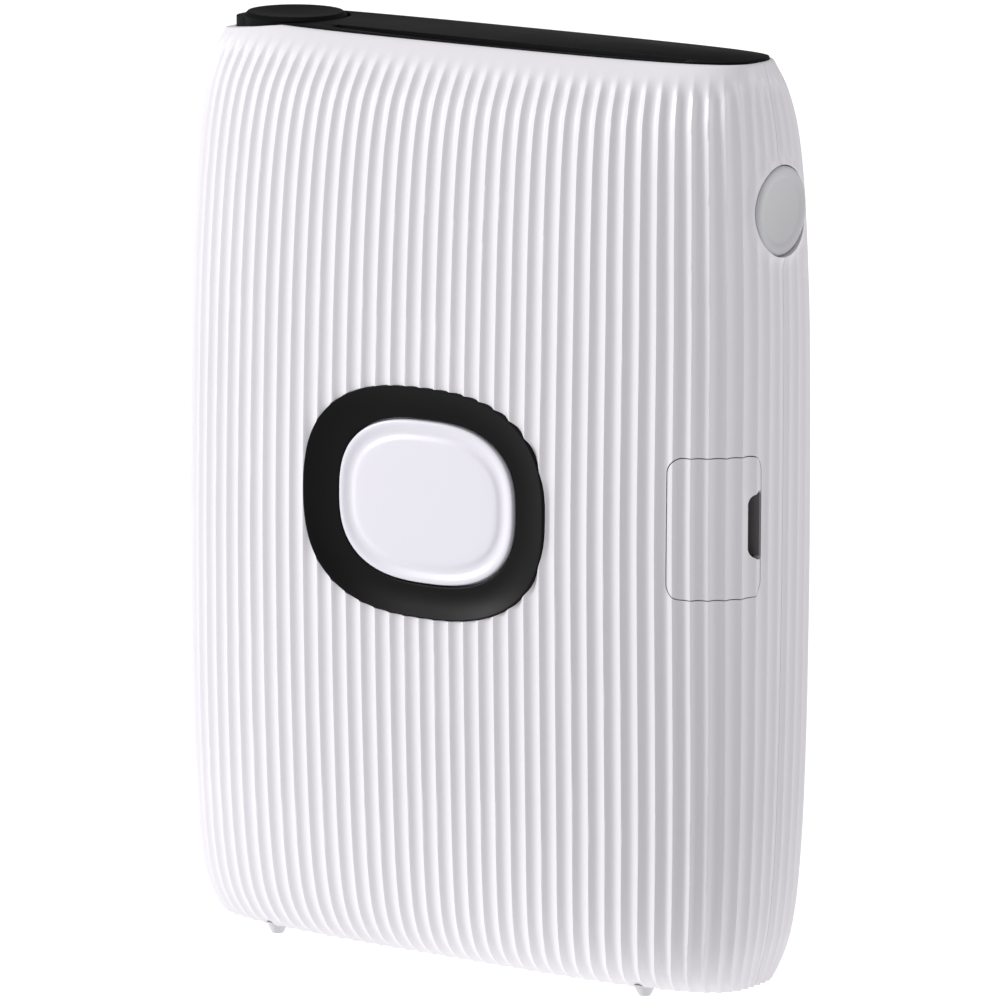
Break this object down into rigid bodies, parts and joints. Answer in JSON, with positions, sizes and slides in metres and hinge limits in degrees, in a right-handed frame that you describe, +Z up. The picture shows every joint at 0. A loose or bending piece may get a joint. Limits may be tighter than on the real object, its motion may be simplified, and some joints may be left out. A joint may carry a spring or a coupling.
{
  "type": "instant film photo printer",
  "caption": "Pocket photo printer for small instant film cards, with a fluted case, a top exit slot, a round-cornered front button and a hinged film door.",
  "frame": {"origin": "middle of the footprint, on the plane that the feet stand on", "axes": "+Z up along the height, -Y out of the front face with the power button, +X to the right seen from the front"},
  "size_m": [0.0919, 0.0362, 0.1265],
  "materials": {
    "shell_white": "satin moulded, vertical flutes",
    "button_white": "satin gloss",
    "button_grey": "satin",
    "panel_black": "satin",
    "bezel_black": "fine grain",
    "inner_black": "moulded",
    "inner_grey": "moulded",
    "clear_guide": "frosted",
    "circuit_green": "solder mask",
    "chip_black": "epoxy",
    "led_white": "lens",
    "steel": "brushed",
    "spring_steel": "drawn wire",
    "tin_shield": "pressed",
    "foil_cell": "foil",
    "foam_grey": "open foam",
    "seal_felt": "felt",
    "roller_rubber": "ground",
    "gear_white": "acetal",
    "lens_glass": "polished",
    "foot_rubber": "moulded"
  },
  "bodies": {
    "housing": {"front_cover": "shell_white", "rear_cover": "shell_white", "door_hinge_pins": "steel", "top_panel": "panel_black", "strap_post": "panel_black", "button_bezel": "bezel_black", "light_ring": "clear_guide", "power_board": "circuit_green", "power_switch": "inner_black", "status_leds": "led_white", "function_board": "circuit_green", "function_switch": "inner_black", "main_board": "circuit_green", "board_chips": "chip_black", "shield_can": "tin_shield", "usb_socket": "tin_shield", "port_surround": "inner_grey", "battery_cell": "foil_cell", "battery_pad": "foam_grey", "chassis": "inner_black", "exposure_head": "inner_black", "lens_array": "lens_glass", "bearing_block_left": "inner_grey", "bearing_block_right": "inner_grey", "gear_plate": "steel", "gear_axles": "steel", "gear_plate_screws": "steel", "case_screws": "steel", "light_seals": "seal_felt", "motor": "steel", "motor_bracket": "steel", "claw_spring": "spring_steel", "feet": "foot_rubber"},
    "film_door": {"film_door": "shell_white", "pressure_springs": "spring_steel", "latch_spring": "spring_steel"},
    "door_latch": {"door_latch": "inner_grey"},
    "usb_cover": {"usb_cover": "shell_white"},
    "power_button": {"power_button": "button_white"},
    "function_button": {"function_button": "button_grey"},
    "rear_roller": {"rear_roller": "steel", "rear_roller_sleeve": "roller_rubber", "rear_roller_gear": "gear_white", "roller_drive_gear": "gear_white"},
    "front_roller": {"front_roller": "steel", "front_roller_gear": "gear_white"},
    "idler_gear": {"idler_gear": "gear_white"},
    "compound_gear": {"compound_gear": "gear_white"},
    "motor_pinion": {"motor_pinion": "gear_white"},
    "cam_gear": {"cam_gear": "gear_white"},
    "pick_claw": {"pick_claw": "inner_grey"}
  },
  "joints": [
    {"name": "power_button_press", "type": "slide", "parent": "housing", "child": "power_button", "axis": [0, 1, 0], "range_m": [0, 0.0005], "stiffness_N_per_m": 1200, "springref_m": -0.0008},
    {"name": "function_button_press", "type": "slide", "parent": "housing", "child": "function_button", "axis": [-1, 0, 0], "range_m": [0, 0.0004], "stiffness_N_per_m": 1200, "springref_m": -0.0008},
    {"name": "usb_cover_hinge", "type": "hinge", "parent": "housing", "child": "usb_cover", "pos_m": [0.03645, -0.0146, 0.06515], "axis": [0, 0, -1], "range_deg": [0, 90]},
    {"name": "film_door_hinge", "type": "hinge", "parent": "housing", "child": "film_door", "pos_m": [-0.031, 0.0148, 0.0622], "axis": [0, 0, 1], "range_deg": [0, 85]},
    {"name": "door_latch_slide", "type": "slide", "parent": "film_door", "child": "door_latch", "axis": [0, 0, 1], "range_m": [0, 0.0025], "stiffness_N_per_m": 150, "springref_m": -0.002, "deforming": ["latch_spring"]},
    {"name": "rear_roller_spin", "type": "hinge", "parent": "housing", "child": "rear_roller", "pos_m": [0, -0.00345, 0.1142], "axis": [1, 0, 0], "continuous": true},
    {"name": "front_roller_spin", "type": "hinge", "parent": "housing", "child": "front_roller", "pos_m": [0, -0.00835, 0.1142], "axis": [1, 0, 0], "continuous": true},
    {"name": "idler_gear_spin", "type": "hinge", "parent": "housing", "child": "idler_gear", "pos_m": [0, 0.00305, 0.10533], "axis": [1, 0, 0], "continuous": true},
    {"name": "compound_gear_spin", "type": "hinge", "parent": "housing", "child": "compound_gear", "pos_m": [0, 0.00155, 0.09645], "axis": [1, 0, 0], "continuous": true},
    {"name": "motor_pinion_spin", "type": "hinge", "parent": "housing", "child": "motor_pinion", "pos_m": [0, 0.00055, 0.087], "axis": [1, 0, 0], "continuous": true},
    {"name": "cam_gear_spin", "type": "hinge", "parent": "housing", "child": "cam_gear", "pos_m": [0, 0.00455, 0.08797], "axis": [1, 0, 0], "continuous": true},
    {"name": "pick_claw_slide", "type": "slide", "parent": "housing", "child": "pick_claw", "axis": [0, 0, 1], "range_m": [0, 0.004], "stiffness_N_per_m": 60, "springref_m": -0.003, "deforming": ["claw_spring"]}
  ],
  "couplings": [
    {"joint": "front_roller_spin", "follows": "rear_roller_spin", "ratio": -1},
    {"joint": "idler_gear_spin", "follows": "rear_roller_spin", "ratio": -0.83333},
    {"joint": "compound_gear_spin", "follows": "rear_roller_spin", "ratio": 1.6667},
    {"joint": "motor_pinion_spin", "follows": "rear_roller_spin", "ratio": -4.6667},
    {"joint": "cam_gear_spin", "follows": "rear_roller_spin", "ratio": -0.83333}
  ]
}
